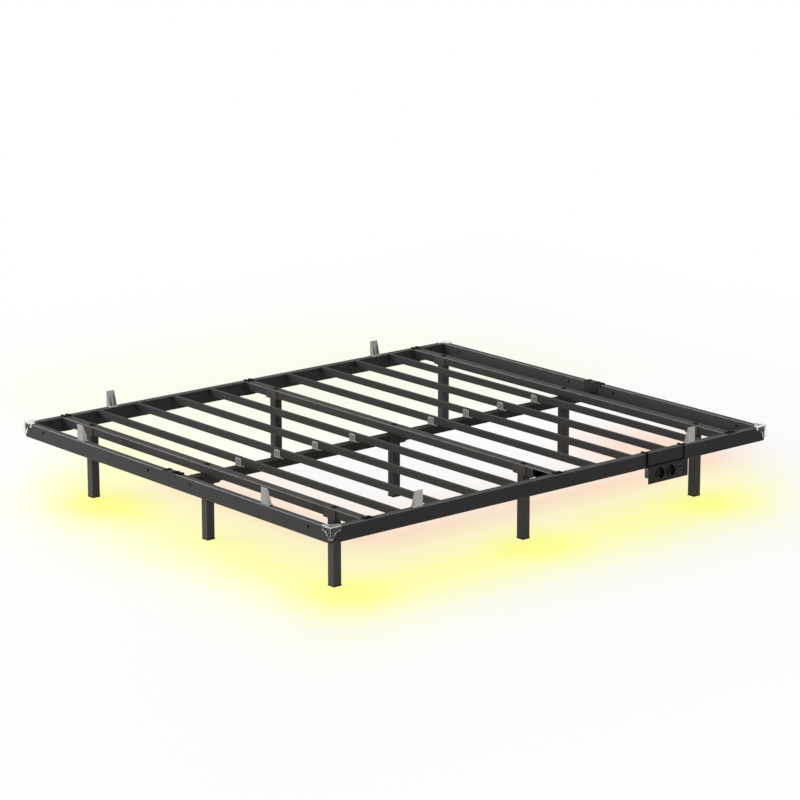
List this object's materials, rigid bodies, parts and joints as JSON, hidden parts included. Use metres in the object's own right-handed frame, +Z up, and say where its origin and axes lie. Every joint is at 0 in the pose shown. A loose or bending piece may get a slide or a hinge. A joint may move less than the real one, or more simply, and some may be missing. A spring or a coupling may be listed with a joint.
{
  "type": "metal double bed frame",
  "caption": "Low black steel bed frame with slats on a centre beam, square legs, mattress retainers, corner guards and a hook-on socket unit.",
  "frame": {"origin": "on the floor under the middle of the bed", "axes": "+X to the bed's right side, where the socket unit hangs, +Y to its head, +Z up"},
  "size_m": [1.8446, 2.0946, 0.341],
  "materials": {
    "frame_paint": "fine black powder coat, satin",
    "beam_paint": "fine black powder coat, satin",
    "joiner_steel": "zinc plated",
    "grey_plastic": "moulded, fine grain",
    "guard_plastic": "clear moulded",
    "panel_plastic": "moulded, fine grain",
    "socket_plastic": "moulded, smooth",
    "strip_plastic": "diffusing silicone"
  },
  "bodies": {
    "bed_frame": {"foot_rail_left": "frame_paint", "foot_rail_right": "frame_paint", "head_rail_left": "frame_paint", "head_rail_right": "frame_paint", "left_rail_foot": "frame_paint", "left_rail_head": "frame_paint", "right_rail_foot": "frame_paint", "right_rail_head": "frame_paint", "corner_joiner_foot_left": "joiner_steel", "corner_joiner_foot_right": "joiner_steel", "corner_joiner_head_left": "joiner_steel", "corner_joiner_head_right": "joiner_steel", "corner_guard_foot_left": "guard_plastic", "corner_guard_foot_right": "guard_plastic", "corner_guard_head_left": "guard_plastic", "corner_guard_head_right": "guard_plastic", "crossbeam_foot": "beam_paint", "crossbeam_middle": "beam_paint", "crossbeam_head": "beam_paint", "centre_beam_foot": "frame_paint", "centre_beam_head": "frame_paint", "slat_1": "frame_paint", "slat_2": "frame_paint", "slat_3": "frame_paint", "slat_4": "frame_paint", "slat_5": "frame_paint", "slat_6": "frame_paint", "slat_7": "frame_paint", "slat_8": "frame_paint", "slat_clip_1": "grey_plastic", "slat_clip_2": "grey_plastic", "slat_clip_3": "grey_plastic", "slat_clip_4": "grey_plastic", "slat_clip_5": "grey_plastic", "slat_clip_6": "grey_plastic", "slat_clip_7": "grey_plastic", "slat_clip_8": "grey_plastic", "leg_foot_left": "beam_paint", "leg_foot_centre": "beam_paint", "leg_foot_right": "beam_paint", "leg_middle_left": "beam_paint", "leg_middle_centre": "beam_paint", "leg_middle_right": "beam_paint", "leg_head_left": "beam_paint", "leg_head_centre": "beam_paint", "leg_head_right": "beam_paint", "retainer_foot_left": "grey_plastic", "retainer_foot_right": "grey_plastic", "retainer_left_foot": "grey_plastic", "retainer_left_head": "grey_plastic", "retainer_right_foot": "grey_plastic", "retainer_right_head": "grey_plastic", "led_strip": "strip_plastic"},
    "socket_unit": {"socket_hanger": "frame_paint", "socket_back_box": "panel_plastic", "socket_face_plate": "panel_plastic", "mains_socket_1": "socket_plastic", "mains_socket_2": "socket_plastic", "usb_socket": "socket_plastic"}
  },
  "joints": [
    {"name": "socket_unit_slide", "type": "slide", "parent": "bed_frame", "child": "socket_unit", "axis": [0, 1, 0], "range_m": [-0.045, 0.019]}
  ]
}
